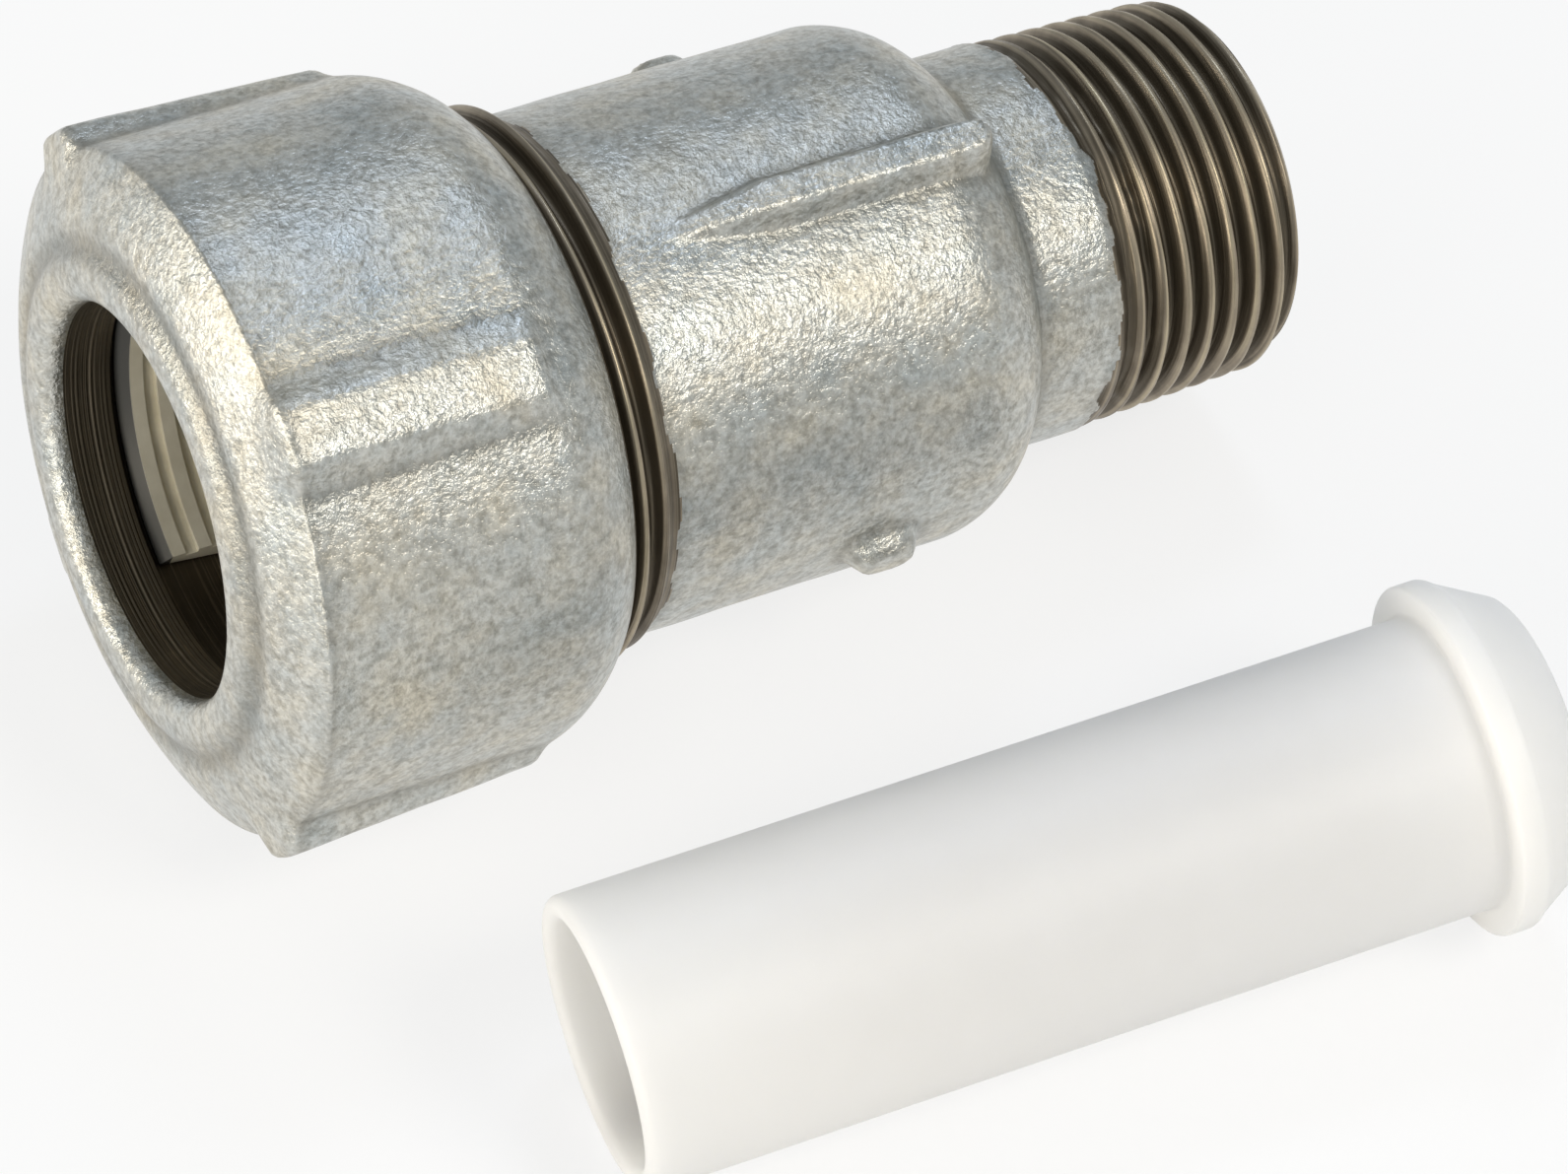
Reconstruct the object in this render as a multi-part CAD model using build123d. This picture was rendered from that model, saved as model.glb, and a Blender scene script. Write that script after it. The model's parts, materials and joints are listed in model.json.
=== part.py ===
"""Compression adapter for a 32 mm plastic gas pipe with a 1 inch outside taper thread.

A cast body carries the coupling thread and the taper thread.  The ribbed nut pushes a
split grip ring and a washer against a rubber seal in the mouth of the body.  The loose
liner, which goes inside the pipe's end, lies beside the fitting.

Every turned piece is drawn along +X: x is the distance from the nut's front plane and y is
the radius.  Angles about the axis start at the floor side and grow towards the liner.
All sizes in millimetres, +Z up, floor at z = 0.
"""
import math
import os

from build123d import *

# Clearances between pieces
RUNNING_GAP = 0.3       # nut cone to grip ring, seal to body
THREAD_GAP = 0.25       # coupling thread, crest to root, on the radius

# Pipe
PIPE_BORE_R = 16.75     # throat of the nut, for a 32 mm pipe
SOCKET_R = 17.2         # socket in the body behind the seal
PIPE_STOP = 60.0        # end of the socket
WATERWAY_R = 13.25      # gas way through the taper thread

# Clamp nut
NUT_LENGTH = 33.0
NUT_R = 29.0            # round between the ribs
NUT_REAR_R = 25.0       # rim at the rear end
NUT_FACE_R = 20.5       # flat ring around the throat
NUT_EDGE = 3.8          # front plane to the crisp edge of the crowned face
NUT_CROWN = 1.52        # front plane to the middle of the crowned face
NUT_SHOULDER = 26.0     # start of the rounded rear shoulder
NUT_SHOULDER_REACH = 4.3    # middle of the shoulder's arc, along the axis
NUT_SHOULDER_DROP = 1.5     # and below the round
LIP_R = 18.4            # mouth of the throat's lead-in
LIP_DEPTH = 1.6
CONE_FRONT = 6.2        # conical seat of the grip ring
CONE_FRONT_R = 17.6
CONE_REAR = 16.0
CONE_REAR_R = 20.2
NUT_RIB_R = 30.9        # crest at the front end
NUT_RIB_REAR_R = 29.9   # crest at the rear end
NUT_RIB_CREST = 4.6
NUT_RIB_BASE = 10.0
NUT_RIB_START = 1.8
NUT_RIB_END = 27.2
NUT_RIB_FRONT_RISE = 1.4    # steep front end of a rib
NUT_RIB_FRONT_EASE = 3.0    # where its crest is reached
NUT_RIB_REAR_FALL = 1.2     # sloping rear end
NUT_RIB_SOFT = 0.6          # height of the eased ends
NUT_RIB_COUNT = 4
NUT_RIB_ANGLE = 51.0

# Grip ring and washer
RING_FRONT = 6.8
RING_REAR = 15.8
RING_IN_R = 16.35
TOOTH_PITCH = 2.4
TOOTH_LAND = 1.2
TOOTH_DEPTH = 0.6
RING_LEAD_IN = 0.95
RING_GAP_ANGLE = 55.0   # open part of the ring
RING_GAP_CENTRE = 4.0
WASHER_FRONT = 15.9
WASHER_THICK = 1.5
WASHER_IN_R = 16.7
WASHER_OUT_R = 19.7

# Seal
SEAL_FRONT = 17.7
SEAL_REAR = 28.6
SEAL_IN_R = 16.35

# Body
BODY_FRONT = 19.8
COUPLING_R = 23.9       # crest of the 1 1/2 inch parallel thread
COUPLING_END = 37.8
COUPLING_LEAD = 1.3
MOUTH_R = 19.9          # mouth that holds the seal
MOUTH_END = 24.6
SEAT_END = 29.3         # end of the conical seal seat
BELLY_FRONT_R = 22.4
BELLY_REAR_R = 22.4
BELLY_END = 67.6        # start of the rounded back shoulder
BELLY_BOW = 4.6         # middle of the back shoulder's arc, along the axis
BELLY_DROP = 1.6        # and below the belly
NECK_START = 75.4
NECK_FOOT = 0.6         # foot of the shoulder, ahead of the neck
NECK_FOOT_RISE = 0.9    # and above it
NECK_EASE = 0.5         # blend into the neck
NECK_R = 17.1
NECK_END = 82.6
OVERALL = 101.6
TAPER_GAUGE_R = 33.249 / 2
TAPER_GAUGE_LENGTH = 10.4
TAPER = 1 / 16
THREAD_RUN_OUT = 0.8    # slope from the neck up to the thread's crest
THREAD_PITCH = 2.309    # 11 turns to the inch
THREAD_DEPTH = 1.479
THREAD_FLAT = 0.385     # width of crest and root
THREAD_CLEAR = 0.8      # reach of the groove's section past the crest
END_CHAMFER = 1.2
BODY_RIB_R = 24.6
BODY_RIB_CREST = 2.8
BODY_RIB_BASE = 4.8
BODY_RIB_START = 43.2
BODY_RIB_RISE = 9.0     # length of the sloping front end
BODY_RIB_END = 74.2
BODY_RIB_NOSE = 1.0     # bevel of the blunt rear end
BODY_RIB_ANGLE = 160.5
PIP_STATION = 59.0
PIP_LENGTH = 6.4
PIP_WIDTH = 4.6
PIP_R = 24.4
PIP_ROUND = 0.9
PIP_ANGLE = 69.0
ROOTED = 2.0            # depth to which ribs and pips run into the wall

# Liner
LINER_R = 12.4
LINER_WALL = 2.0
LINER_LENGTH = 74.0     # plain end to the front of the collar
LINER_ROUND = 0.9
COLLAR_R = 14.9
COLLAR_RIM = 2.2
COLLAR_LENGTH = 7.6
COLLAR_END_R = 11.3
LINER_X = 14.2          # plain end, from the nut's front plane
LINER_Y = -53.2
LINER_YAW = -6.7


def turned(*profile):
    """Solid of revolution about X from one closed outline of points and lines."""
    return revolve(make_face(Wire(profile)), Axis.X, 360)


def outline(*points):
    """Straight edges through the points, in order."""
    return Polyline(*points).edges()


def taper_r(station):
    """Crest radius of the taper thread at a station along the axis."""
    return TAPER_GAUGE_R + (OVERALL - TAPER_GAUGE_LENGTH - station) * TAPER / 2


def about_axis(solid, angle):
    """Turn a solid made on the floor side to its angle about the axis."""
    return Rot(-angle, 0, 0) * solid


def rib(start, end, base, crest, root_r, crest_r):
    """Straight rib of trapezoid section on the floor side of the axis."""
    section = Plane.YZ.offset(start) * make_face(
        Polyline((-base / 2, -root_r), (base / 2, -root_r), (crest / 2, -crest_r), (-crest / 2, -crest_r),
                 close=True))
    return extrude(section, end - start)


def clamp_nut():
    """Round nut with a crowned face, longitudinal ribs and a rounded rear shoulder."""
    outer = [
        *outline((LIP_DEPTH, PIPE_BORE_R), (0, LIP_R), (0, NUT_FACE_R)),
        ThreePointArc((0, NUT_FACE_R), (NUT_CROWN, (NUT_FACE_R + NUT_R) / 2), (NUT_EDGE, NUT_R)),
        Line((NUT_EDGE, NUT_R), (NUT_SHOULDER, NUT_R)),
        ThreePointArc((NUT_SHOULDER, NUT_R), (NUT_SHOULDER + NUT_SHOULDER_REACH, NUT_R - NUT_SHOULDER_DROP),
                      (NUT_LENGTH, NUT_REAR_R)),
    ]
    bore = COUPLING_R + THREAD_GAP
    inner = outline((NUT_LENGTH, NUT_REAR_R), (NUT_LENGTH, bore), (CONE_REAR, bore),
                    (CONE_REAR, CONE_REAR_R), (CONE_FRONT, CONE_FRONT_R), (CONE_FRONT, PIPE_BORE_R),
                    (LIP_DEPTH, PIPE_BORE_R))
    nut = turned(*outer, *inner)
    root = NUT_R - 2 * ROOTED
    envelope = turned(*outline((NUT_RIB_START, root),
                               (NUT_RIB_START + NUT_RIB_FRONT_RISE, NUT_RIB_R - NUT_RIB_SOFT),
                               (NUT_RIB_START + NUT_RIB_FRONT_EASE, NUT_RIB_R),
                               (NUT_RIB_END - NUT_RIB_REAR_FALL, NUT_RIB_REAR_R),
                               (NUT_RIB_END, NUT_R - NUT_RIB_SOFT), (NUT_RIB_END, root), (NUT_RIB_START, root)))
    bar = rib(NUT_RIB_START, NUT_RIB_END, NUT_RIB_BASE, NUT_RIB_CREST, NUT_R - 1.6, NUT_RIB_R + 1)
    blank = bar & envelope
    for turn in range(NUT_RIB_COUNT):
        nut += about_axis(blank, NUT_RIB_ANGLE + turn * 360 / NUT_RIB_COUNT)
    return nut


def cone_r(station):
    """Radius of the nut's conical seat at a station."""
    return CONE_FRONT_R + (station - CONE_FRONT) * (CONE_REAR_R - CONE_FRONT_R) / (CONE_REAR - CONE_FRONT)


def clamp_ring():
    """Split grip ring: plain cone outside, toothed bore inside."""
    front, rear = (cone_r(s) - RUNNING_GAP for s in (RING_FRONT, RING_REAR))
    bore = [(RING_FRONT + RING_LEAD_IN, RING_IN_R)]
    groove_r = RING_IN_R + TOOTH_DEPTH
    start = RING_FRONT + RING_LEAD_IN + TOOTH_LAND
    while start + TOOTH_PITCH < RING_REAR:
        end = start + TOOTH_PITCH - TOOTH_LAND
        bore += [(start, RING_IN_R), (start, groove_r), (end, groove_r), (end, RING_IN_R)]
        start += TOOTH_PITCH
    points = [(RING_FRONT, front), (RING_FRONT, RING_IN_R + RING_LEAD_IN), *bore, (RING_REAR, RING_IN_R),
              (RING_REAR, rear), (RING_FRONT, front)]
    profile = make_face(Wire(outline(*points)))
    closed = 360 - RING_GAP_ANGLE
    ring = revolve(profile, Axis.X, closed)
    return Rot(90 - RING_GAP_CENTRE - RING_GAP_ANGLE / 2 - closed + 180, 0, 0) * ring


def thrust_washer():
    """Flat washer between the grip ring and the seal."""
    rear = WASHER_FRONT + WASHER_THICK
    return turned(*outline((WASHER_FRONT, WASHER_IN_R), (WASHER_FRONT, WASHER_OUT_R), (rear, WASHER_OUT_R),
                           (rear, WASHER_IN_R), (WASHER_FRONT, WASHER_IN_R)))


def seal_ring():
    """Rubber ring with a square front and a conical rear that meets the seat."""
    out_r = MOUTH_R - RUNNING_GAP
    slope = (MOUTH_R - SOCKET_R) / (SEAT_END - MOUTH_END)
    rear_r = MOUTH_R - slope * (SEAL_REAR - MOUTH_END) - RUNNING_GAP
    return turned(*outline((SEAL_FRONT, SEAL_IN_R), (SEAL_FRONT, out_r), (MOUTH_END, out_r),
                           (SEAL_REAR, rear_r), (SEAL_REAR, SEAL_IN_R), (SEAL_FRONT, SEAL_IN_R)))


def thread_turn(station):
    """One right-hand turn of the taper thread's groove, starting at a station on the upper side."""
    path = Helix(THREAD_PITCH, THREAD_PITCH, taper_r(station), center=(station, 0, 0), direction=(1, 0, 0),
                 cone_angle=-math.degrees(math.atan(TAPER / 2)))
    foot = path @ 0
    root, mouth = THREAD_FLAT / 2, (THREAD_PITCH - THREAD_FLAT) / 2
    section = Plane(foot, x_dir=(0, foot.Y, foot.Z), z_dir=path % 0) * make_face(
        Polyline((-THREAD_DEPTH, -root), (-THREAD_DEPTH, root), (0, mouth), (THREAD_CLEAR, mouth),
                 (THREAD_CLEAR, -mouth), (0, -mouth), close=True))
    return sweep(section, path=path, is_frenet=True)


def body():
    """Casting with the seal mouth, pipe socket, back shoulder, neck, ribs, pips and taper thread."""
    lead = BODY_FRONT + COUPLING_LEAD
    run_out = COUPLING_END - (COUPLING_R - BELLY_FRONT_R)
    end = OVERALL - END_CHAMFER
    foot = (NECK_START - NECK_FOOT, NECK_R + NECK_FOOT_RISE)
    first = NECK_END + THREAD_RUN_OUT
    outside = [
        *outline((BODY_FRONT, MOUTH_R), (BODY_FRONT, COUPLING_R - COUPLING_LEAD), (lead, COUPLING_R),
                 (run_out, COUPLING_R), (COUPLING_END, BELLY_FRONT_R), (BELLY_END, BELLY_REAR_R)),
        ThreePointArc((BELLY_END, BELLY_REAR_R), (BELLY_END + BELLY_BOW, BELLY_REAR_R - BELLY_DROP), foot),
        *outline(foot, (NECK_START + NECK_EASE, NECK_R), (NECK_END, NECK_R), (first, taper_r(first)),
                 (end, taper_r(end)), (OVERALL, taper_r(end) - END_CHAMFER), (OVERALL, WATERWAY_R)),
    ]
    inside = outline((OVERALL, WATERWAY_R), (PIPE_STOP, WATERWAY_R), (PIPE_STOP, SOCKET_R),
                     (SEAT_END, SOCKET_R), (MOUTH_END, MOUTH_R), (BODY_FRONT, MOUTH_R))
    casting = turned(*outside, *inside)
    for turn in range(math.ceil((OVERALL - NECK_END) / THREAD_PITCH) + 1):
        casting -= about_axis(thread_turn(NECK_END + turn * THREAD_PITCH), 180)
    root = BELLY_REAR_R - ROOTED
    envelope = turned(*outline((BODY_RIB_START, root), (BODY_RIB_START, BELLY_REAR_R),
                               (BODY_RIB_START + BODY_RIB_RISE, BODY_RIB_R),
                               (BODY_RIB_END - BODY_RIB_NOSE, BODY_RIB_R),
                               (BODY_RIB_END, BODY_RIB_R - BODY_RIB_NOSE), (BODY_RIB_END, NECK_R),
                               (BELLY_END, root), (BODY_RIB_START, root)))
    bar = rib(BODY_RIB_START, BODY_RIB_END, BODY_RIB_BASE, BODY_RIB_CREST, NECK_R, BODY_RIB_R + 0.6)
    long_rib = bar & envelope
    pad = Plane((PIP_STATION, 0, -root), x_dir=(1, 0, 0), z_dir=(0, 0, -1)) * SlotOverall(PIP_LENGTH, PIP_WIDTH)
    pip = extrude(pad, PIP_R - root)
    pip = fillet(pip.faces().sort_by(Axis.Z)[0].edges(), PIP_ROUND)
    for side in (0, 180):
        casting += about_axis(long_rib, BODY_RIB_ANGLE + side)
        casting += about_axis(pip, PIP_ANGLE + side)
    return casting


def support_liner():
    """Thin sleeve with a collar that tapers towards its own end."""
    bore = LINER_R - LINER_WALL
    rim = LINER_LENGTH + COLLAR_RIM
    end = LINER_LENGTH + COLLAR_LENGTH
    sleeve = turned(*outline((0, bore), (0, LINER_R), (LINER_LENGTH, LINER_R), (LINER_LENGTH, COLLAR_R),
                             (rim, COLLAR_R), (end, COLLAR_END_R), (end, bore), (0, bore)))
    return fillet(sleeve.edges().filter_by(GeomType.CIRCLE).group_by(Axis.X)[0], LINER_ROUND)


def rest_tilt(nut_station, nut_r, body_station, body_r):
    """Angle at which the fitting lies on the nut's shoulder and the body's shoulder."""
    return math.degrees(math.atan2(nut_r - body_r, body_station - nut_station))


def support_r(crest_r, half_width, angle):
    """Reach towards the floor of a rib's nearer crest corner."""
    off = math.radians(min(abs(angle % 360), 360 - angle % 360)) - math.asin(half_width / crest_r)
    return crest_r * math.cos(off)


rib_reach = support_r(BODY_RIB_R, BODY_RIB_CREST / 2, BODY_RIB_ANGLE + 180)
body_reach = max((BODY_RIB_END - BODY_RIB_NOSE, rib_reach), (BELLY_END, BELLY_REAR_R),
                 key=lambda reach: reach[1])
tilt = rest_tilt(NUT_SHOULDER, NUT_R, *body_reach)
lift = NUT_R * math.cos(math.radians(tilt)) + NUT_SHOULDER * math.sin(math.radians(tilt))
fitting_place = Pos(0, 0, lift) * Rot(0, tilt, 0)

liner_tilt = math.degrees(math.asin((COLLAR_R - LINER_R) / (LINER_LENGTH - LINER_ROUND)))
liner_lift = LINER_R * math.cos(math.radians(liner_tilt)) - LINER_ROUND * math.sin(math.radians(liner_tilt))
liner_place = Pos(LINER_X, LINER_Y, liner_lift) * Rot(0, 0, LINER_YAW) * Rot(0, -liner_tilt, 0)

pieces = {
    "body": fitting_place * body(),
    "seal_ring": fitting_place * seal_ring(),
    "clamp_ring": fitting_place * clamp_ring(),
    "thrust_washer": fitting_place * thrust_washer(),
    "clamp_nut": fitting_place * clamp_nut(),
    "support_liner": liner_place * support_liner(),
}

box = Compound([piece for solid in pieces.values() for piece in solid.solids()]).bounding_box()
centre = Pos(-box.center().X, -box.center().Y, -box.min.Z)

os.makedirs("parts", exist_ok=True)
for node, solid in pieces.items():
    placed = centre * solid.solid()
    placed.label = node
    export_step(placed, f"parts/{node}.step")

print("tilt", round(tilt, 3), "lift", round(lift, 3), "liner tilt", round(liner_tilt, 3))
print("origin shift", round(-box.center().X, 4), round(-box.center().Y, 4), round(-box.min.Z, 4))
print("size", round(box.size.X, 2), round(box.size.Y, 2), round(box.size.Z, 2))
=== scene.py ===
import json
import math

import bpy
import numpy as np
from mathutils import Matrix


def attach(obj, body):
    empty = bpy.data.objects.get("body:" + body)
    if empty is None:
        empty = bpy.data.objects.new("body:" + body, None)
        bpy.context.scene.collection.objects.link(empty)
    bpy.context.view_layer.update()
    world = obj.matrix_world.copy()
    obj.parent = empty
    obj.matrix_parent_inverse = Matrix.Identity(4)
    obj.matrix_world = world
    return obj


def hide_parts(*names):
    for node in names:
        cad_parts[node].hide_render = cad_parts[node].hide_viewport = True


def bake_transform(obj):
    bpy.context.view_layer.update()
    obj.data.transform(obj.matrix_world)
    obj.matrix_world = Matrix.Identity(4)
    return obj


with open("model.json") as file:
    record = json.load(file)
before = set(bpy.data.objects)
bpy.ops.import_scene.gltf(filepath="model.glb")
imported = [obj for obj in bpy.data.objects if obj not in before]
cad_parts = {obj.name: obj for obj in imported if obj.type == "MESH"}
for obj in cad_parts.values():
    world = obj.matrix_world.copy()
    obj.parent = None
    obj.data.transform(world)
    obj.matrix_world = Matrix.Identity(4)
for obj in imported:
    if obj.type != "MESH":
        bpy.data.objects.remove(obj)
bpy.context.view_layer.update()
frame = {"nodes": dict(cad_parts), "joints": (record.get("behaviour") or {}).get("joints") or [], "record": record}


# Body.  One malleable iron casting, dipped in zinc, then turned: the coupling thread for the
# nut at its mouth and the taper thread at its end are cut through the zinc to bare iron.
turn = next(joint for joint in frame["joints"] if joint["name"] == "nut_turn")
origin = np.array(turn["pos_m"]) * 1000
along = np.array(turn["axis"]) / np.linalg.norm(turn["axis"])
across = np.array((0.0, 1.0, 0.0))
fitting = (origin, along, across, np.cross(along, across))


def around_line(line, station, radius, angle):
    """Point = start + station ahead + radius turned by angle from below towards minus aside, in metres."""
    start, ahead, aside, up = line
    spoke = -np.cos(angle)[..., None] * up - np.sin(angle)[..., None] * aside
    return (start + station[..., None] * ahead + radius[..., None] * spoke) / 1000


def ease(low, high, value):
    """Smooth step: 0 below low, 1 above high, a cubic between."""
    x = np.clip((value - low) / (high - low), 0, 1)
    return x * x * (3 - 2 * x)


def bell(middle, width, value):
    """1 at middle, falling off on both sides as exp of minus (distance / width) squared."""
    return np.exp(-((value - middle) / width) ** 2)


def evenly(count):
    """Angles once round: each step's number times a full turn over the count."""
    return np.arange(count) * 2 * np.pi / count


def gathered(count, folds, first, pull):
    """Angles drawn together near `folds` even directions: u minus pull sin(folds (u - first)) / folds."""
    u = evenly(count)
    return u - pull * np.sin(folds * (u - first)) / folds


def arc_to(first, folds, radius, angle):
    """Arc length to the nearest of `folds` even directions: the angle to it times the radius."""
    share = 2 * np.pi / folds
    return np.abs((angle - first + share / 2) % share - share / 2) * radius


def run(*knots):
    """Outline through (station, radius, steps) knots, with that many even steps up to each knot."""
    parts = [np.array([knots[0][:2]], float)]
    for (s0, r0, _), (s1, r1, steps) in zip(knots, knots[1:]):
        t = np.arange(1, steps + 1)[:, None] / steps
        parts.append((1 - t) * (s0, r0) + t * (s1, r1))
    return np.concatenate(parts)


def bow(start, middle, end, steps):
    """Arc through three (station, radius) points: the circle's centre solves two chord equations."""
    a, b, c = (np.array(p, float) for p in (start, middle, end))
    centre = np.linalg.solve(2 * np.array((b - a, c - a)), (b @ b - a @ a, c @ c - a @ a))
    first, last = np.unwrap([math.atan2(*(p - centre)[::-1]) for p in (a, c)])
    t = np.linspace(first, last, steps + 1)[1:]
    return centre + np.linalg.norm(a - centre) * np.stack((np.cos(t), np.sin(t)), 1)


def spun(outline, angles):
    """Grids of station, radius and angle: every outline point carried through all the angles."""
    station, angle = np.meshgrid(outline[:, 0], angles, indexing="ij")
    return station, np.repeat(outline[:, 1:], len(angles), 1), angle


def skin_wave(station, angle):
    """Uneven cast wall, 0 to 1: the mean of crossed waves, sin(lobes angle + lean station + shift)."""
    waves = ((3, 0.21, 0.0), (5, -0.33, 1.7), (8, 0.52, 0.6), (13, -0.81, 2.9))
    total = sum(np.sin(lobes * angle + lean * station + shift) for lobes, lean, shift in waves)
    return 0.5 + total / (2 * len(waves))


def ragged(angle, *waves):
    """Uneven edge around the axis: the sum of height times sin(lobes angle + shift)."""
    return sum(height * np.sin(lobes * angle + shift) for height, lobes, shift in waves)


def thread_cut(station, angle, pitch):
    """Depth share of a right-hand thread, one turn per pitch: flat crest 0, straight flank, flat root 1.

    A small share of a smooth step over the whole turn rounds the corners.
    """
    rounding = 0.15
    phase = station / pitch + angle / (2 * np.pi)
    fold = np.abs(2 * (phase - np.floor(phase)) - 1)
    flank = np.clip(1.5 * fold - 0.25, 0, 1)
    return (1 - rounding) * flank + rounding * ease(0.05, 0.95, fold)


def closed_skin(name, points, values, finishes, index):
    """Mesh of a grid that closes both ways: outline steps by angles; values are stored per point."""
    rows, columns = points.shape[:2]
    i, j = np.meshgrid(np.arange(rows), np.arange(columns), indexing="ij")
    corner = lambda di, dj: ((i + di) % rows) * columns + (j + dj) % columns
    quads = np.stack((corner(0, 0), corner(0, 1), corner(1, 1), corner(1, 0)), -1).reshape(-1, 4)
    mesh = bpy.data.meshes.new(name)
    mesh.vertices.add(rows * columns)
    mesh.vertices.foreach_set("co", points.reshape(-1))
    mesh.loops.add(quads.size)
    mesh.loops.foreach_set("vertex_index", quads.reshape(-1))
    mesh.polygons.add(len(quads))
    mesh.polygons.foreach_set("loop_start", np.arange(0, quads.size, 4))
    mesh.polygons.foreach_set("material_index", index.reshape(-1).astype(np.int32))
    mesh.update(calc_edges=True)
    mesh.polygons.foreach_set("use_smooth", np.ones(len(quads), bool))
    for key, value in values.items():
        attribute = mesh.attributes.new(key, "FLOAT", "POINT")
        attribute.data.foreach_set("value", value.reshape(-1).astype(np.float32))
    for finish in finishes:
        mesh.materials.append(finish)
    piece = bpy.data.objects.new(name, mesh)
    bpy.context.scene.collection.objects.link(piece)
    return piece


def colour(text):
    """sRGB hex text to linear RGBA."""
    c = np.array([int(text[k:k + 2], 16) for k in (1, 3, 5)]) / 255
    return (*np.where(c <= 0.04045, c / 12.92, ((c + 0.055) / 1.055) ** 2.4), 1.0)


def add(tree, kind, inputs=(), stops=(), **settings):
    """One node: settings are its properties, inputs maps a socket's name or number to a value or a link.

    Stops are the (place, hex) pairs of a colour ramp.
    """
    node = tree.nodes.new(kind)
    for key, value in settings.items():
        setattr(node, key, value)
    for key, value in dict(inputs).items():
        if isinstance(value, bpy.types.NodeSocket):
            tree.links.new(value, node.inputs[key])
        else:
            node.inputs[key].default_value = value
    elements = node.color_ramp.elements if stops else ()
    while len(elements) < len(stops):
        elements.new(0.5)
    for element, (place, text) in zip(elements, stops):
        element.position, element.color = place, colour(text)
    return node


def finish_tree(name):
    """Material with an emptied node tree, that tree, and its Object coordinates."""
    material = bpy.data.materials.new(name)
    material.use_nodes = True
    material.node_tree.nodes.clear()
    tree = material.node_tree
    return material, tree, add(tree, "ShaderNodeTexCoord").outputs["Object"]


# Hot-dip zinc on a sand-cast face: dull silver grey with warmer clouds a few millimetres wide and
# brown specks, over a sandy grain of about half a millimetre that breaks the highlight into sparkles.
# An attribute darkens the hollows beside ribs and the edges brown grey: dirt left there, with painted shade.
# A colour Mix node takes its share at socket 0 and its two colours at sockets 6 and 7.
zinc, tree, place = finish_tree("hot_dip_zinc_on_cast_iron")
dirt_share, sand_share = 0.4, 0.38
cloud = add(tree, "ShaderNodeTexNoise",
            {"Vector": place, "Scale": 1 / 0.006, "Detail": 5.0, "Roughness": 0.62})
grain = add(tree, "ShaderNodeTexNoise",
            {"Vector": place, "Scale": 1 / 0.00055, "Detail": 3.0, "Roughness": 0.6})
stain = add(tree, "ShaderNodeTexNoise",
            {"Vector": place, "Scale": 1 / 0.001, "Detail": 4.0, "Roughness": 0.68})
cast = add(tree, "ShaderNodeValToRGB", {"Fac": cloud.outputs["Fac"]},
           stops=((0.3, "#C9CECD"), (0.5, "#D4D4CE"), (0.7, "#DFDACC")))
dirt = add(tree, "ShaderNodeValToRGB", {"Fac": stain.outputs["Fac"]},
           stops=((0.36, "#857F71"), (0.56, "#FFFFFF")))
sand = add(tree, "ShaderNodeValToRGB", {"Fac": grain.outputs["Fac"]},
           stops=((0.36, "#A8A49A"), (0.6, "#FFFFFF")))
tone = add(tree, "ShaderNodeMix", {0: dirt_share, 6: cast.outputs["Color"], 7: dirt.outputs["Color"]},
           data_type="RGBA", blend_type="MULTIPLY")
tone = add(tree, "ShaderNodeMix", {0: sand_share, 6: tone.outputs[2], 7: sand.outputs["Color"]},
           data_type="RGBA", blend_type="MULTIPLY")
# Dirt with painted shade: the attribute darkens the hollows and edges brown grey, in patches of the stain noise.
dirt_and_shade = add(tree, "ShaderNodeAttribute", attribute_name="dirt_and_shade")
dirt_shade_patches = add(tree, "ShaderNodeMath", {0: dirt_and_shade.outputs["Fac"], 1: stain.outputs["Fac"]},
             operation="MULTIPLY")
tone = add(tree, "ShaderNodeMix", {0: dirt_shade_patches.outputs[0], 6: tone.outputs[2], 7: colour("#7A7364")},
           data_type="RGBA", blend_type="MULTIPLY")
dull = add(tree, "ShaderNodeMapRange", {"Value": cloud.outputs["Fac"], "From Min": 0.3, "From Max": 0.7,
                                        "To Min": 0.31, "To Max": 0.44})
bump = add(tree, "ShaderNodeBump", {"Strength": 0.78, "Distance": 0.00022, "Height": grain.outputs["Fac"]})
shader = add(tree, "ShaderNodeBsdfPrincipled", {"Base Color": tone.outputs[2], "Metallic": 0.88,
                                               "Roughness": dull.outputs[0], "Normal": bump.outputs[0]})
add(tree, "ShaderNodeOutputMaterial", {"Surface": shader.outputs[0]})

# Bare turned iron under a film of cutting oil: brown black in the roots, oil with painted shade,
# worn to a warm grey gold on the crests, with the tool's lines, drawn a third of a millimetre apart to show.
cut_iron, tree, place = finish_tree("turned_iron_oiled")
stain_share, line_share = 0.35, 0.8
root = add(tree, "ShaderNodeAttribute", attribute_name="root")
stain = add(tree, "ShaderNodeTexNoise",
            {"Vector": place, "Scale": 1 / 0.004, "Detail": 5.0, "Roughness": 0.6})
axial = add(tree, "ShaderNodeAttribute", attribute_name="axial")
lines = add(tree, "ShaderNodeTexNoise", {"W": axial.outputs["Fac"], "Scale": 1 / 0.3, "Detail": 2.0},
            noise_dimensions="1D")
# The root attribute darkens the colour: oil with painted shade in the thread roots, painted shade in the nut's
# throat.
deep = add(tree, "ShaderNodeMath", {0: stain.outputs["Fac"], 1: stain_share, 2: root.outputs["Fac"]},
           operation="MULTIPLY_ADD")
deep = add(tree, "ShaderNodeMath", {0: lines.outputs["Fac"], 1: line_share, 2: deep.outputs[0]},
           operation="MULTIPLY_ADD")
metal = add(tree, "ShaderNodeValToRGB", {"Fac": deep.outputs[0]},
            stops=((0.35, "#C4B79B"), (0.7, "#958A79"), (1.0, "#5F574A")))
bump = add(tree, "ShaderNodeBump", {"Strength": 0.7, "Distance": 0.0001, "Height": lines.outputs["Fac"]})
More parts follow.
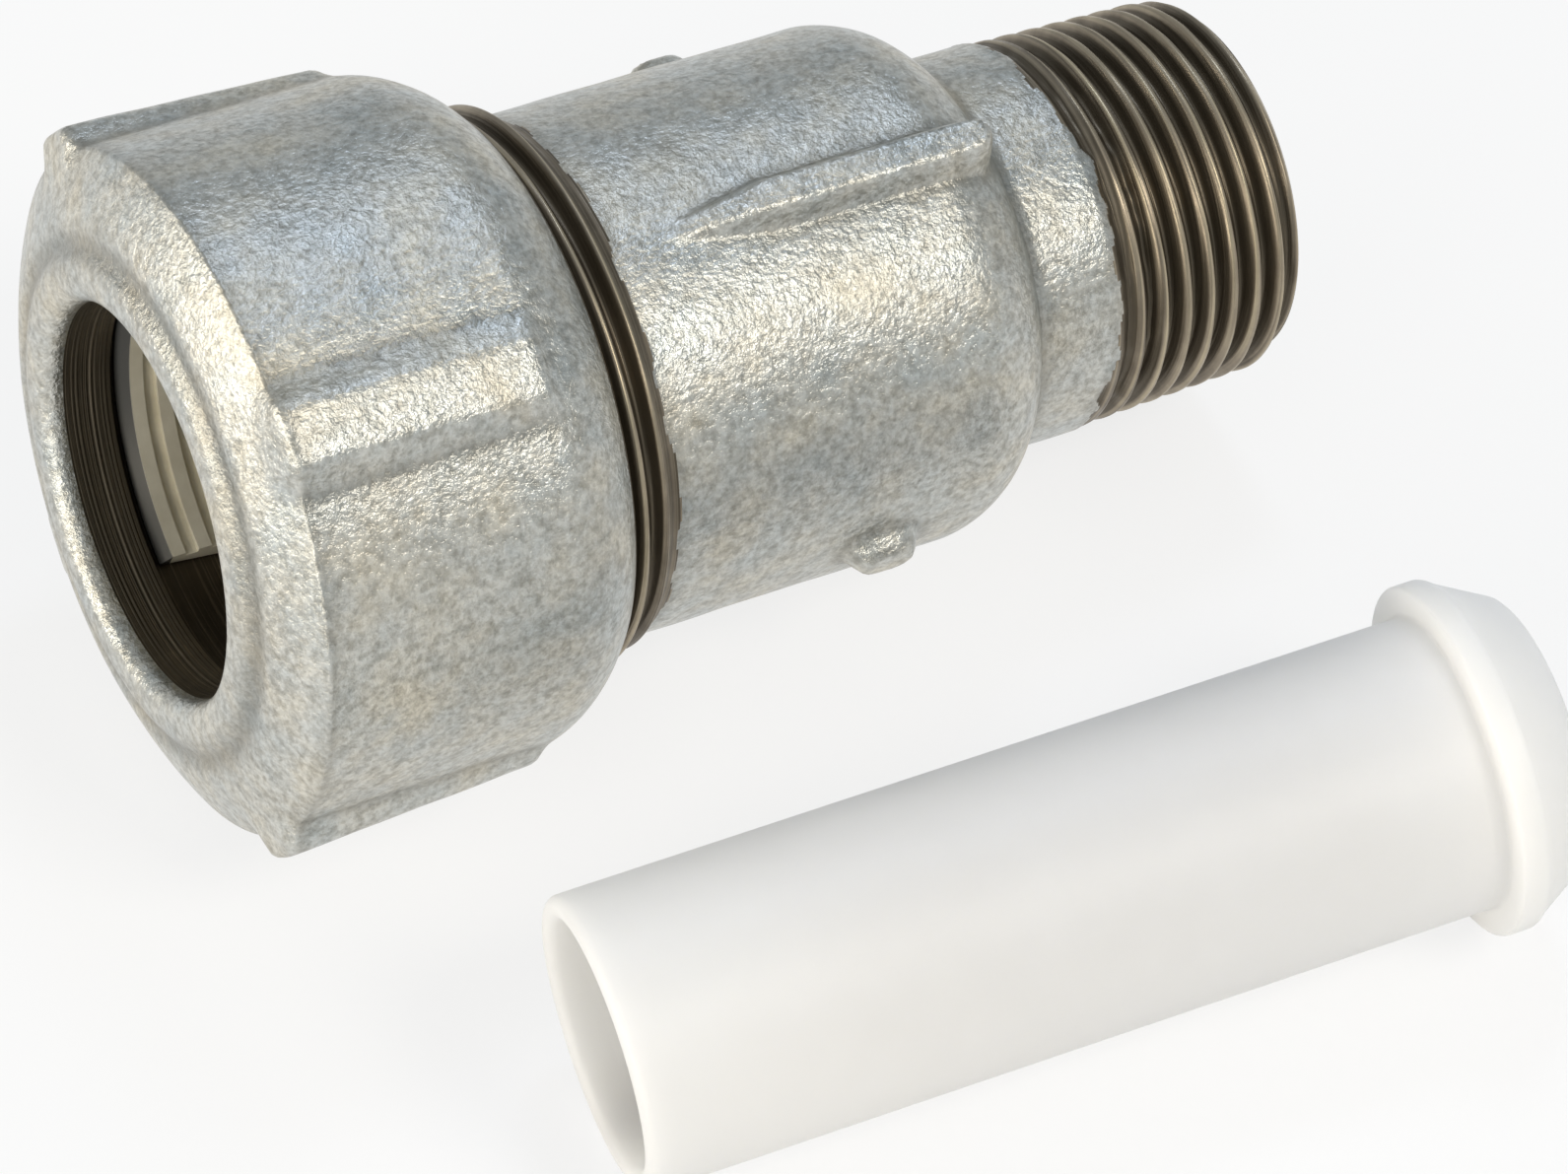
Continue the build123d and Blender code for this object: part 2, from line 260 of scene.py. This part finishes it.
gloss = add(tree, "ShaderNodeMapRange", {"Value": stain.outputs["Fac"], "From Min": 0.3, "From Max": 0.7,
                                         "To Min": 0.32, "To Max": 0.48})
shader = add(tree, "ShaderNodeBsdfPrincipled", {"Base Color": metal.outputs["Color"], "Metallic": 0.85,
                                               "Roughness": gloss.outputs[0], "Normal": bump.outputs[0]})
add(tree, "ShaderNodeOutputMaterial", {"Surface": shader.outputs[0]})

# Sizes in millimetres; a pair is a (station, radius) point or the two ends of a fade or flank.
overall, body_front, mouth_r, mouth_end = 101.6, 19.8, 19.9, 24.6
socket_front, socket_r, pipe_stop, gas_r = 29.3, 17.2, 60.0, 13.25
coupling_r, coupling_lead, coupling_end = 23.9, 1.3, 37.8
coupling_fade_in, coupling_fade_out = (20.2, 21.6), (36.2, 37.7)
belly_r, shoulder, neck_start, neck_r, neck_fillet, neck_end = 22.4, 67.6, 75.4, 17.1, 0.5, 82.6
shoulder_mid, shoulder_foot = (shoulder + 4.6, 20.8), (neck_start - 0.6, 18.0)
neck_hollow = (neck_start - 0.25, 17.42)
pitch, thread_depth, thread_lead, end_chamfer = 2.309, 1.479, 0.8, 1.2
gauge_d, gauge_length, taper_rate = 33.249, 10.4, 1 / 16
first_bite, bite_start, bite_end, run_in = 0.3, -0.4, 0.6, 5.0
rib_r, rib_start, rib_rise, rib_end, rib_nose = 24.6, 43.2, 9.0, 73.4, 2.0
rib_tip, rib_flank, body_rib_angle = 0.4, (1.0, 2.5), math.radians(160.5)
pip_r, pip_at, pip_half, pip_flank, pip_angle = 24.4, 59.0, 0.7, (1.3, 3.1), math.radians(69.0)
edge_shift, coupling_fine, neck_fine = 0.3, 1.2, 1.6
body_cast_depth, bare_film = 0.12, 0.3
taper_r = lambda station: (gauge_d + taper_rate * (overall - gauge_length - station)) / 2
thread_start, thread_end = neck_end + thread_lead, overall - end_chamfer
end_r = taper_r(thread_end) - end_chamfer
outer = np.concatenate((
    run((body_front, mouth_r, 0), (body_front, coupling_r - coupling_lead, 4),
        (body_front + coupling_lead, coupling_r, 6), (coupling_end - (coupling_r - belly_r), coupling_r, 76),
        (coupling_end, belly_r, 8), (coupling_end + coupling_fine, belly_r, 6), (shoulder, belly_r, 62)),
    bow((shoulder, belly_r), shoulder_mid, shoulder_foot, 18),
    run((*shoulder_foot, 0), (*neck_hollow, 3), (neck_start + neck_fillet, neck_r, 3),
        (neck_end - neck_fine, neck_r, 12), (neck_end, neck_r, 8), (thread_start, taper_r(thread_start), 4),
        (thread_end, taper_r(thread_end), 112), (overall, end_r, 6))[1:-1],
))
inner = run((overall, end_r, 0), (overall, gas_r, 4), (pipe_stop, gas_r, 14), (pipe_stop, socket_r, 4),
            (socket_front, socket_r, 10), (mouth_end, mouth_r, 6), (body_front, mouth_r, 4))[:-1]
station, radius, angle = spun(np.concatenate((outer, inner)),
                              gathered(count=256, folds=4, first=pip_angle, pull=0.5))
outside = np.arange(len(station))[:, None] < len(outer)
# The threads fade in over the lead chamfer and out into the neck, and the zinc ends in ragged edges.
cut = thread_cut(station - neck_end, angle, pitch)
coupling = ease(*coupling_fade_in, station) * (1 - ease(*coupling_fade_out, station)) * outside
neck_edge = neck_end + edge_shift + ragged(angle, (0.5, 3, 0.7), (0.3, 7, 2.1), (0.22, 17, 0.0),
                                           (0.14, 31, 1.1), (0.1, 47, 0.4))
coupling_edge = coupling_end + edge_shift + ragged(angle, (0.25, 4, 1.3), (0.18, 11, 0.0), (0.14, 29, 0.8))
bitten = ease(neck_edge + bite_start, neck_edge + bite_end, station)
taper = (first_bite * bitten + (1 - first_bite) * ease(neck_edge, neck_edge + run_in, station)) * outside
root = cut * (coupling + taper)
radius = radius - thread_depth * root
# Two long ribs and two oblong pips stand on the belly, about a quarter turn apart.
grown = np.clip((station - rib_start) / rib_rise, 0, 1)
crest = belly_r + (rib_r - belly_r) * grown
nose = np.maximum(station - (rib_end - rib_nose), 0)
rib_far = np.hypot(arc_to(body_rib_angle, 2, belly_r, angle) / (rib_tip + (1 - rib_tip) * grown), nose)
long_rib = 1 - ease(*rib_flank, rib_far)
radius = np.where(outside, radius + long_rib * np.maximum(crest - radius, 0), radius)
pip_past = np.maximum(np.abs(station - pip_at) - pip_half, 0)
pip_far = np.hypot(pip_past, arc_to(pip_angle, 2, belly_r, angle))
radius = np.where(outside, radius + (pip_r - belly_r) * (1 - ease(*pip_flank, pip_far)), radius)
cast_zone = outside & (station > coupling_edge) & (station < neck_edge)
radius = radius - body_cast_depth * skin_wave(station, angle) * cast_zone
# Dirt with painted shade darkens the neck's hollow, the feet of ribs and pips, and both edges of the zinc.
neck_dirt_shade = 0.8 * bell(middle=neck_start, width=0.9, value=station)
rib_dirt_shade = 0.7 * bell(middle=2.7, width=0.6, value=rib_far) * ease(rib_start + 1, rib_start + 4, station)
pip_dirt_shade = 0.6 * bell(middle=3.2, width=0.5, value=pip_far)
front_dirt_shade = 0.5 * bell(middle=0.3, width=0.5, value=station - coupling_edge)
rear_dirt_shade = 0.5 * bell(middle=0.3, width=0.4, value=neck_edge - station)
dirt_and_shade = np.clip(neck_dirt_shade + rib_dirt_shade + pip_dirt_shade + front_dirt_shade + rear_dirt_shade, 0, 1)
# The root attribute darkens the cut iron: oil with painted shade in the thread roots, an oil film on plain turned
# faces.
filmed_root = root + bare_film * (1 - taper - coupling) * outside
body = closed_skin("body_casting", around_line(fitting, station, radius, angle),
                   {"root": filmed_root, "axial": station, "dirt_and_shade": dirt_and_shade},
                   (zinc, cut_iron), np.where(cast_zone, 0, 1))
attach(body, "body")
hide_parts("body")


# Clamp nut.  A zinc-dipped casting with four gripping ribs; its throat, ring seat and thread
# are turned bare.  It screws on the body's coupling thread and pushes the grip ring.
nut_r, nut_edge, nut_shoulder, nut_length, rim_r = 29.0, 3.8, 26.0, 33.0, 25.0
throat_r, throat_front, lip_end, lip_mid, lip_r, face_r = 16.75, 1.9, 1.6, (0.45, 17.25), 18.4, 20.5
edge_mid, edge_end = (0.4 * nut_edge, (face_r + nut_r) / 2), nut_edge + 0.4
nut_shoulder_mid = (30.3, nut_r - 1.5)
thread_gap, nut_thread_front, nut_fade_in, nut_fade_out = 0.25, 16.0, (16.4, 17.6), (32.0, 33.0)
seat_front, seat_front_r, seat_rear_r = 6.2, 17.6, 20.2
valley_r, valley_width, valley_depth = 21.6, 1.3, 0.6
wall_start, wall_end, tool_depth, tool_feed = 2.0, 6.0, 0.018, 0.42
throat_shade, throat_shade_r = 0.45, 20.0
nut_rib_angle, nut_rib_flank = math.radians(51.0), (1.9, 5.0)
nut_rib_front, nut_rib_rear = (2.2, 4.6), (25.6, 27.2)
nut_rib_high, nut_rib_low, nut_rib_top = 1.9, 0.9, 4.8
knob_front, knob_rear, knob_reach = (1.6, 4.4), (4.6, 9.0), 0.6
nut_cast_depth, face_fade = 0.14, (19.0, 22.0)
nut_bore = coupling_r + thread_gap
outer = np.concatenate((
    run((throat_front, throat_r, 0), (lip_end, throat_r, 1)),
    bow((lip_end, throat_r), lip_mid, (0.0, lip_r), 8),
    run((0.0, lip_r, 0), (0.0, face_r, 6))[1:],
    bow((0.0, face_r), edge_mid, (nut_edge, nut_r), 26),
    run((nut_edge, nut_r, 0), (edge_end, nut_r, 2), (nut_shoulder, nut_r, 46))[1:],
    bow((nut_shoulder, nut_r), nut_shoulder_mid, (nut_length, rim_r), 20),
))
inner = run((nut_length, rim_r, 0), (nut_length, nut_bore, 3), (nut_thread_front, nut_bore, 92),
            (nut_thread_front, seat_rear_r, 5), (seat_front, seat_front_r, 14), (seat_front, throat_r, 3),
            (throat_front, throat_r, 60))[1:-1]
station, radius, angle = spun(np.concatenate((outer, inner)),
                              gathered(count=288, folds=4, first=nut_rib_angle, pull=0.6))
# The last steps of the rim are turned bare with the thread.
rim_steps = 2
outside = np.arange(len(station))[:, None] < len(outer) - rim_steps
valley = bell(valley_r, valley_width, radius) * outside * (station < nut_edge)
station = station + valley_depth * valley
inside_thread = ~outside & (radius > coupling_r)
cut = thread_cut(station, angle, pitch)
# The root attribute darkens the nut's thread roots, oil with painted shade, and paints shade into the throat and
# the seat's front.
root = np.where(inside_thread, 1 - cut, throat_shade * (radius < throat_shade_r))
fade = ease(*nut_fade_in, station) * (1 - ease(*nut_fade_out, station))
radius = radius - np.where(inside_thread, thread_depth * cut * fade, 0)
throat = ~outside & (station > wall_start) & (station < wall_end)
radius = radius + np.where(throat, tool_depth * np.cos(2 * np.pi * station / tool_feed), 0)
# Each rib is a flat crest with soft flanks, lower towards the rear; its front end reaches over the edge.
arc = arc_to(nut_rib_angle, 4, nut_r, angle)
rib = 1 - ease(*nut_rib_flank, arc)
length = ease(*nut_rib_front, station) * (1 - ease(*nut_rib_rear, station)) * outside
fall = np.clip((station - nut_rib_top) / (nut_shoulder - nut_rib_top), 0, 1)
radius = radius + (nut_rib_high - (nut_rib_high - nut_rib_low) * fall) * rib * length
knob = ease(*knob_front, station) * (1 - ease(*knob_rear, station)) * outside
station = station - knob_reach * rib * knob
radius = radius - nut_cast_depth * skin_wave(station, angle) * outside * ease(*face_fade, radius)
# Dirt with painted shade darkens the valley of the face, the feet of the ribs, the side behind the edge and the
# rim.
foot_dirt_shade = 0.7 * bell(middle=4.9, width=0.8, value=arc) * length
edge_dirt_shade = 0.5 * bell(middle=edge_end, width=0.5, value=station) * (radius > nut_r - 1.0)
rim_dirt_shade = 0.5 * bell(middle=nut_length - 0.5, width=0.6, value=station)
dirt_and_shade = np.clip(0.9 * valley + foot_dirt_shade + edge_dirt_shade + rim_dirt_shade, 0, 1)
nut = closed_skin("clamp_nut_casting", around_line(fitting, station, radius, angle),
                  {"root": root, "axial": station, "dirt_and_shade": dirt_and_shade}, (zinc, cut_iron),
                  np.broadcast_to(np.where(outside, 0, 1), station.shape))
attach(nut, "nut")
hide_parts("clamp_nut")


# Grip ring.  A split ring of yellow passivated metal with turned teeth inside; it sits loose
# in the nut's cone and closes on the pipe.  Its lead-in is painted dark grey, tarnish with painted shade; its
# lands are painted pale, a painted reflection.
ring_metal, tree, place = finish_tree("passivated_grip_ring")
ring_front, ring_lead_in, soft_edge = 6.8, 0.95, 0.05
lead_in_end = origin + (ring_front + ring_lead_in) * along
tarnish = add(tree, "ShaderNodeTexNoise", {"Vector": place, "Scale": 1 / 0.003, "Detail": 4.0})
from_lead_in = add(tree, "ShaderNodeVectorMath", {0: place, 1: lead_in_end / 1000}, operation="SUBTRACT")
depth = add(tree, "ShaderNodeVectorMath", {0: from_lead_in.outputs[0], 1: along}, operation="DOT_PRODUCT")
# Painted light in the bore: a dark grey painted shade on the lead-in, a pale painted reflection on the lands
# behind it.
painted_land_share = add(tree, "ShaderNodeMapRange", {"Value": depth.outputs["Value"], "From Min": -soft_edge / 1000,
                                          "From Max": soft_edge / 1000})
land_painted_reflection = add(tree, "ShaderNodeValToRGB", {"Fac": tarnish.outputs["Fac"]},
           stops=((0.3, "#DED7C2"), (0.7, "#EFE9D6")))
metal = add(tree, "ShaderNodeMix", {0: painted_land_share.outputs[0], 6: colour("#403F3B"), 7: land_painted_reflection.outputs["Color"]},
            data_type="RGBA")
turning = add(tree, "ShaderNodeTexNoise", {"Vector": place, "Scale": 1 / 0.0005, "Detail": 2.0})
bump = add(tree, "ShaderNodeBump", {"Strength": 0.2, "Distance": 0.00005, "Height": turning.outputs["Fac"]})
shader = add(tree, "ShaderNodeBsdfPrincipled", {"Base Color": metal.outputs[2], "Metallic": 0.2,
                                               "Roughness": 0.42, "Normal": bump.outputs[0]})
add(tree, "ShaderNodeOutputMaterial", {"Surface": shader.outputs[0]})
ring = frame["nodes"]["clamp_ring"]
ring.data.materials.clear()
ring.data.materials.append(ring_metal)


# Thrust washer.  Stamped from steel strip, plain and slightly oiled; it lies loose between
# the grip ring and the seal and passes the nut's push on to the rubber.
strip, tree, place = finish_tree("stamped_steel_strip")
roll = add(tree, "ShaderNodeTexNoise", {"Vector": place, "Scale": 1 / 0.002, "Detail": 4.0})
metal = add(tree, "ShaderNodeValToRGB", {"Fac": roll.outputs["Fac"]},
            stops=((0.3, "#77777A"), (0.7, "#9C9C9A")))
shader = add(tree, "ShaderNodeBsdfPrincipled", {"Base Color": metal.outputs["Color"], "Metallic": 1.0,
                                               "Roughness": 0.38})
add(tree, "ShaderNodeOutputMaterial", {"Surface": shader.outputs[0]})
washer = frame["nodes"]["thrust_washer"]
washer.data.materials.clear()
washer.data.materials.append(strip)


# Seal.  Moulded nitrile rubber, matt black with a faint bloom; its cone rests in the body's seat
# and the washer presses its front, so it shortens as the nut is tightened.
rubber, tree, place = finish_tree("moulded_nitrile_rubber")
bloom = add(tree, "ShaderNodeTexNoise", {"Vector": place, "Scale": 1 / 0.004, "Detail": 3.0})
tone = add(tree, "ShaderNodeValToRGB", {"Fac": bloom.outputs["Fac"]},
           stops=((0.35, "#191919"), (0.7, "#2A2A29")))
shader = add(tree, "ShaderNodeBsdfPrincipled", {"Base Color": tone.outputs["Color"], "Roughness": 0.62})
add(tree, "ShaderNodeOutputMaterial", {"Surface": shader.outputs[0]})
seal_front, seal_rear, seal_bore, seal_r, seal_cone = 17.7, 28.6, 16.35, 19.6, 24.6
seal_rear_r, seal_round, seal_trim = 17.2, 0.4, 0.1
outline = run((seal_front + seal_round, seal_bore, 0), (seal_front + seal_trim, seal_bore + seal_trim, 2),
              (seal_front, seal_bore + seal_round, 2), (seal_front, seal_r - seal_round, 4),
              (seal_front + seal_trim, seal_r - seal_trim, 2), (seal_front + seal_round, seal_r, 2),
              (seal_cone, seal_r, 14), (seal_rear - 0.3, seal_rear_r + 0.27, 8),
              (seal_rear - seal_trim, seal_rear_r, 2), (seal_rear, seal_rear_r - 0.3, 2),
              (seal_rear, seal_bore + seal_round, 1), (seal_rear - seal_trim, seal_bore + seal_trim, 2),
              (seal_rear - seal_round, seal_bore, 2), (seal_front + seal_round, seal_bore, 20))[:-1]
station, radius, angle = spun(outline, evenly(count=192))
seal = closed_skin("rubber_seal", around_line(fitting, station, radius, angle), {}, (rubber,),
                   np.zeros(station.shape))
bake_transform(seal)
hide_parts("seal_ring")


# Liner.  Injection moulded white plastic sleeve with a bevelled collar; loose, it lies on its
# collar and its plain end beside the fitting.
plastic, tree, place = finish_tree("moulded_white_acetal")
cloudy = add(tree, "ShaderNodeTexNoise", {"Vector": place, "Scale": 1 / 0.02, "Detail": 3.0})
tone = add(tree, "ShaderNodeValToRGB", {"Fac": cloudy.outputs["Fac"]},
           stops=((0.3, "#EFEDEA"), (0.7, "#F7F5F2")))
skin = add(tree, "ShaderNodeTexNoise", {"Vector": place, "Scale": 1 / 0.0015, "Detail": 2.0})
bump = add(tree, "ShaderNodeBump", {"Strength": 0.08, "Distance": 0.00005, "Height": skin.outputs["Fac"]})
shader = add(tree, "ShaderNodeBsdfPrincipled",
             {"Base Color": tone.outputs["Color"], "Roughness": 0.5, "Normal": bump.outputs[0],
              "Subsurface Weight": 0.9, "Subsurface Radius": (0.008, 0.008, 0.0075),
              "Subsurface Scale": 1.0})
add(tree, "ShaderNodeOutputMaterial", {"Surface": shader.outputs[0]})

liner_r, liner_bore, collar_r, collar_at, liner_end = 12.4, 10.4, 14.9, 74.0, 81.6
tip_round, tip_trim, barrel_mid, bore_mid = 0.9, 0.264, 40.0, 45.0
foot_round, foot_rise, collar_round, collar_trim = 0.3, 0.5, 0.3, 0.09
rim_end, bevel_start, bevel_drop, bevel_end_r = collar_at + 1.9, collar_at + 2.6, 0.38, 11.9
spigot = next(mount for mount in frame["record"]["mounts"] if mount["name"] == "liner_spigot")
liner_along = -np.array(spigot["axis"]) / np.linalg.norm(spigot["axis"])
liner_start = np.array(spigot["pos_m"]) * 1000 - liner_along * (tip_round + collar_at) / 2
liner_across = np.cross((0.0, 0.0, 1.0), liner_along)
liner_across /= np.linalg.norm(liner_across)
sleeve = (liner_start, liner_along, liner_across, np.cross(liner_along, liner_across))
outline = np.concatenate((
    run((tip_round, liner_r, 0), (barrel_mid, liner_r, 30), (collar_at - foot_round, liner_r, 30),
        (collar_at - 0.05, liner_r + 0.2, 2), (collar_at, liner_r + foot_rise, 2),
        (collar_at, collar_r - collar_round, 4)),
    bow((collar_at, collar_r - collar_round), (collar_at + collar_trim, collar_r - collar_trim),
        (collar_at + collar_round, collar_r), 4),
    run((collar_at + collar_round, collar_r, 0), (rim_end, collar_r, 6))[1:],
    bow((rim_end, collar_r), (rim_end + 0.4, collar_r - 0.1), (bevel_start, collar_r - bevel_drop), 4),
    run((bevel_start, collar_r - bevel_drop, 0), (liner_end - 0.4, bevel_end_r, 10),
        (liner_end - 0.1, 11.5, 3), (liner_end, 11.0, 3), (liner_end - 0.1, 10.55, 2),
        (liner_end - 0.5, liner_bore, 2), (bore_mid, liner_bore, 30), (tip_round, liner_bore, 30))[1:],
    bow((tip_round, liner_bore), (tip_trim, liner_bore + tip_trim), (0.0, liner_bore + tip_round), 6),
    run((0.0, liner_bore + tip_round, 0), (0.0, liner_r - tip_round, 1))[1:],
    bow((0.0, liner_r - tip_round), (tip_trim, liner_r - tip_trim), (tip_round, liner_r), 6)[:-1],
))
station, radius, angle = spun(outline, evenly(count=256))
liner = closed_skin("pipe_liner", around_line(sleeve, station, radius, angle), {}, (plastic,),
                    np.zeros(station.shape))
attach(liner, "body")
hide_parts("support_liner")


# Stage: white paper that keeps a faint shadow, a grey room, a warm lamp before the barrel and a
# cool one behind it, both where the barrel mirrors them to the camera, and two weak ones that reach
# the nut's throat and its face.
paper, tree, _ = finish_tree("white_paper_floor")
white_share, half_side = 0.75, 3
matt = add(tree, "ShaderNodeBsdfDiffuse", {"Color": colour("#F4F4F4")})
white = add(tree, "ShaderNodeEmission", {"Color": colour("#FFFFFF"), "Strength": 1.0})
ray = add(tree, "ShaderNodeLightPath")
seen = add(tree, "ShaderNodeMath", {0: ray.outputs["Is Camera Ray"], 1: ray.outputs["Is Glossy Ray"]},
           operation="MAXIMUM")
seen = add(tree, "ShaderNodeMath", {0: seen.outputs[0], 1: ray.outputs["Is Transmission Ray"]},
           operation="MAXIMUM")
share = add(tree, "ShaderNodeMath", {0: seen.outputs[0], 1: white_share}, operation="MULTIPLY")
shader = add(tree, "ShaderNodeMixShader", {0: share.outputs[0], 1: matt.outputs[0], 2: white.outputs[0]})
add(tree, "ShaderNodeOutputMaterial", {"Surface": shader.outputs[0]})
corners = [(x * half_side, y * half_side, 0) for x, y in ((-1, -1), (1, -1), (1, 1), (-1, 1))]
floor_mesh = bpy.data.meshes.new("floor")
floor_mesh.from_pydata(corners, [], [(0, 1, 2, 3)])
floor_mesh.materials.append(paper)
floor = bpy.data.objects.new("floor", floor_mesh)
bpy.context.scene.collection.objects.link(floor)

room = bpy.data.worlds.new("grey_room")
room.use_nodes = True
room.node_tree.nodes.clear()
sky = add(room.node_tree, "ShaderNodeBackground", {"Color": colour("#C2C8CC"), "Strength": 0.72})
add(room.node_tree, "ShaderNodeOutputWorld", {"Surface": sky.outputs[0]})
bpy.context.scene.world = room

aim_point = (0, 0, 0.02)
for name, towards, distance, side, power, tint in (
        ("front", (0.28, -0.62, 0.74), 0.9, 0.29, 3.1, "#FFF8EC"),
        ("back", (0.28, 0.34, 0.88), 0.9, 0.2, 1.2, "#DAE8FF"),
        ("nut_side", (-0.86, -0.42, 0.3), 1.0, 0.5, 3.4, "#FFF6E6"),
        ("nut_face", (-0.95, 0.3, 0.22), 1.0, 0.4, 3.5, "#FFF6E6")):
    lamp = bpy.data.lights.new(name, "AREA")
    lamp.shape, lamp.size, lamp.energy, lamp.color = "SQUARE", side, power, colour(tint)[:3]
    holder = bpy.data.objects.new(name, lamp)
    aim = np.array(towards) / np.linalg.norm(towards)
    holder.location = aim * distance + aim_point
    holder.rotation_euler = (0, math.acos(aim[2]), math.atan2(aim[1], aim[0]))
    bpy.context.scene.collection.objects.link(holder)

# Camera: the photograph's long lens, looking down on the lying fitting from the nut's side.
sensor_mm, focal_px, photo_px = 36.0, 8000, 1591
look_down, look_right = 48.535, 28.363
lens = bpy.data.cameras.new("camera")
lens.sensor_fit, lens.sensor_width = "HORIZONTAL", sensor_mm
lens.lens = sensor_mm * focal_px / photo_px
lens.clip_start, lens.clip_end = 0.01, 20.0
camera = bpy.data.objects.new("camera", lens)
camera.location = (-0.20598, -0.37578, 0.50378)
camera.rotation_euler = (math.radians(90 - look_down), 0, math.radians(-look_right))
bpy.context.scene.collection.objects.link(camera)
bpy.context.scene.camera = camera
bpy.context.scene.view_settings.view_transform = "Standard"
